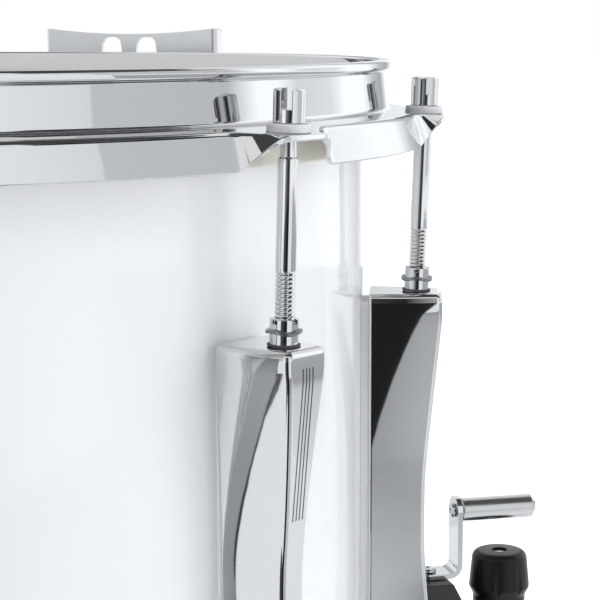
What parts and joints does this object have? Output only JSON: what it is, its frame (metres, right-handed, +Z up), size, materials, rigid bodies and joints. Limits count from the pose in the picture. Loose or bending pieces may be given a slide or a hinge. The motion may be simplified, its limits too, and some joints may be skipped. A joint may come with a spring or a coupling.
{
  "type": "marching snare drum",
  "caption": "Marching snare drum with a deep white shell, double-ended lugs, pressed chrome hoops, a throw-off strainer and a carrier plate.",
  "frame": {"origin": "middle of the part's plan, at the height of the lip on which the drum stands; the drum's own axis is 23.7 mm towards -X of it", "axes": "+X towards the strainer, +Z up from the snare side to the batter side"},
  "size_m": [0.4654, 0.412, 0.3345],
  "materials": {
    "white_lacquer": "gloss white lacquer",
    "chrome": "mirror",
    "white_film": "coated film",
    "clear_film": "clouded film",
    "black_casting": "satin black",
    "black_plastic": "satin",
    "strap": "clear strap",
    "snare_cable": "twisted cable"
  },
  "bodies": {
    "drum": {"shell": "white_lacquer", "batter_hoop": "chrome", "snare_hoop": "chrome", "batter_head": "white_film", "snare_head": "clear_film", "vent_grommet": "chrome", "lug_01": "chrome", "lug_02": "chrome", "lug_03": "chrome", "lug_04": "chrome", "lug_05": "chrome", "lug_06": "chrome", "lug_07": "chrome", "lug_08": "chrome", "lug_09": "chrome", "lug_10": "chrome", "strainer_body": "black_casting", "strainer_strap": "strap", "butt_body": "black_casting", "butt_plate": "chrome", "butt_strap": "strap", "snares": "snare_cable", "carrier_plate": "chrome", "carrier_screw_left": "chrome", "carrier_screw_right": "chrome"},
    "batter_rod_01": {"batter_rod_01": "chrome"},
    "batter_rod_02": {"batter_rod_02": "chrome"},
    "batter_rod_03": {"batter_rod_03": "chrome"},
    "batter_rod_04": {"batter_rod_04": "chrome"},
    "batter_rod_05": {"batter_rod_05": "chrome"},
    "batter_rod_06": {"batter_rod_06": "chrome"},
    "batter_rod_07": {"batter_rod_07": "chrome"},
    "batter_rod_08": {"batter_rod_08": "chrome"},
    "batter_rod_09": {"batter_rod_09": "chrome"},
    "batter_rod_10": {"batter_rod_10": "chrome"},
    "snare_rod_01": {"snare_rod_01": "chrome"},
    "snare_rod_02": {"snare_rod_02": "chrome"},
    "snare_rod_03": {"snare_rod_03": "chrome"},
    "snare_rod_04": {"snare_rod_04": "chrome"},
    "snare_rod_05": {"snare_rod_05": "chrome"},
    "snare_rod_06": {"snare_rod_06": "chrome"},
    "snare_rod_07": {"snare_rod_07": "chrome"},
    "snare_rod_08": {"snare_rod_08": "chrome"},
    "snare_rod_09": {"snare_rod_09": "chrome"},
    "snare_rod_10": {"snare_rod_10": "chrome"},
    "lever": {"strainer_lever": "chrome", "lever_screw": "chrome", "grip_pin": "chrome"},
    "grip": {"lever_grip": "chrome"},
    "yoke": {"strainer_yoke": "black_casting"},
    "knob": {"tension_knob": "black_plastic"},
    "clamp": {"snare_clamp": "black_casting", "snare_clamp_plate": "chrome"}
  },
  "joints": [
    {"name": "batter_rod_01_turn", "type": "hinge", "parent": "drum", "child": "batter_rod_01", "pos_m": [0.16547, 0.06146, 0.3052], "axis": [0.034, 0.0111, 0.9994], "continuous": true},
    {"name": "batter_rod_02_turn", "type": "hinge", "parent": "drum", "child": "batter_rod_02", "pos_m": [0.09321, 0.16091, 0.3052], "axis": [0.021, 0.0289, 0.9994], "continuous": true},
    {"name": "batter_rod_03_turn", "type": "hinge", "parent": "drum", "child": "batter_rod_03", "pos_m": [-0.0237, 0.1989, 0.3052], "axis": [0, 0.0358, 0.9994], "continuous": true},
    {"name": "batter_rod_04_turn", "type": "hinge", "parent": "drum", "child": "batter_rod_04", "pos_m": [-0.14061, 0.16091, 0.3052], "axis": [-0.021, 0.0289, 0.9994], "continuous": true},
    {"name": "batter_rod_05_turn", "type": "hinge", "parent": "drum", "child": "batter_rod_05", "pos_m": [-0.21286, 0.06146, 0.3052], "axis": [-0.034, 0.0111, 0.9994], "continuous": true},
    {"name": "batter_rod_06_turn", "type": "hinge", "parent": "drum", "child": "batter_rod_06", "pos_m": [-0.21286, -0.06146, 0.3052], "axis": [-0.034, -0.0111, 0.9994], "continuous": true},
    {"name": "batter_rod_07_turn", "type": "hinge", "parent": "drum", "child": "batter_rod_07", "pos_m": [-0.14061, -0.16091, 0.3052], "axis": [-0.021, -0.0289, 0.9994], "continuous": true},
    {"name": "batter_rod_08_turn", "type": "hinge", "parent": "drum", "child": "batter_rod_08", "pos_m": [-0.0237, -0.1989, 0.3052], "axis": [0, -0.0358, 0.9994], "continuous": true},
    {"name": "batter_rod_09_turn", "type": "hinge", "parent": "drum", "child": "batter_rod_09", "pos_m": [0.09321, -0.16091, 0.3052], "axis": [0.021, -0.0289, 0.9994], "continuous": true},
    {"name": "batter_rod_10_turn", "type": "hinge", "parent": "drum", "child": "batter_rod_10", "pos_m": [0.16547, -0.06146, 0.3052], "axis": [0.034, -0.0111, 0.9994], "continuous": true},
    {"name": "snare_rod_01_turn", "type": "hinge", "parent": "drum", "child": "snare_rod_01", "pos_m": [0.16547, 0.06146, 0.0189], "axis": [0.034, 0.0111, -0.9994], "continuous": true},
    {"name": "snare_rod_02_turn", "type": "hinge", "parent": "drum", "child": "snare_rod_02", "pos_m": [0.09321, 0.16091, 0.0189], "axis": [0.021, 0.0289, -0.9994], "continuous": true},
    {"name": "snare_rod_03_turn", "type": "hinge", "parent": "drum", "child": "snare_rod_03", "pos_m": [-0.0237, 0.1989, 0.0189], "axis": [0, 0.0358, -0.9994], "continuous": true},
    {"name": "snare_rod_04_turn", "type": "hinge", "parent": "drum", "child": "snare_rod_04", "pos_m": [-0.14061, 0.16091, 0.0189], "axis": [-0.021, 0.0289, -0.9994], "continuous": true},
    {"name": "snare_rod_05_turn", "type": "hinge", "parent": "drum", "child": "snare_rod_05", "pos_m": [-0.21286, 0.06146, 0.0189], "axis": [-0.034, 0.0111, -0.9994], "continuous": true},
    {"name": "snare_rod_06_turn", "type": "hinge", "parent": "drum", "child": "snare_rod_06", "pos_m": [-0.21286, -0.06146, 0.0189], "axis": [-0.034, -0.0111, -0.9994], "continuous": true},
    {"name": "snare_rod_07_turn", "type": "hinge", "parent": "drum", "child": "snare_rod_07", "pos_m": [-0.14061, -0.16091, 0.0189], "axis": [-0.021, -0.0289, -0.9994], "continuous": true},
    {"name": "snare_rod_08_turn", "type": "hinge", "parent": "drum", "child": "snare_rod_08", "pos_m": [-0.0237, -0.1989, 0.0189], "axis": [0, -0.0358, -0.9994], "continuous": true},
    {"name": "snare_rod_09_turn", "type": "hinge", "parent": "drum", "child": "snare_rod_09", "pos_m": [0.09321, -0.16091, 0.0189], "axis": [0.021, -0.0289, -0.9994], "continuous": true},
    {"name": "snare_rod_10_turn", "type": "hinge", "parent": "drum", "child": "snare_rod_10", "pos_m": [0.16547, -0.06146, 0.0189], "axis": [0.034, -0.0111, -0.9994], "continuous": true},
    {"name": "lever_throw", "type": "hinge", "parent": "drum", "child": "lever", "pos_m": [0.1883, 0, 0.1205], "axis": [0, 0, 1], "range_deg": [0, 90]},
    {"name": "yoke_slide", "type": "slide", "parent": "drum", "child": "yoke", "axis": [0, 0, 1], "range_m": [-0.006, 0], "deforming": ["strainer_strap"]},
    {"name": "grip_spin", "type": "hinge", "parent": "lever", "child": "grip", "pos_m": [0.2163, 0, 0.146], "axis": [1, 0, 0], "continuous": true},
    {"name": "knob_turn", "type": "hinge", "parent": "yoke", "child": "knob", "pos_m": [0.2183, 0, 0.106], "axis": [0, 0, 1], "range_deg": [-1080, 1080]},
    {"name": "clamp_slide", "type": "slide", "parent": "yoke", "child": "clamp", "axis": [0, 0, 1], "range_m": [-0.003, 0.003]}
  ],
  "couplings": [
    {"joint": "lever_throw", "follows": "yoke_slide", "rad_per_m": -261.79},
    {"joint": "knob_turn", "follows": "clamp_slide", "rad_per_m": -6283.1}
  ]
}
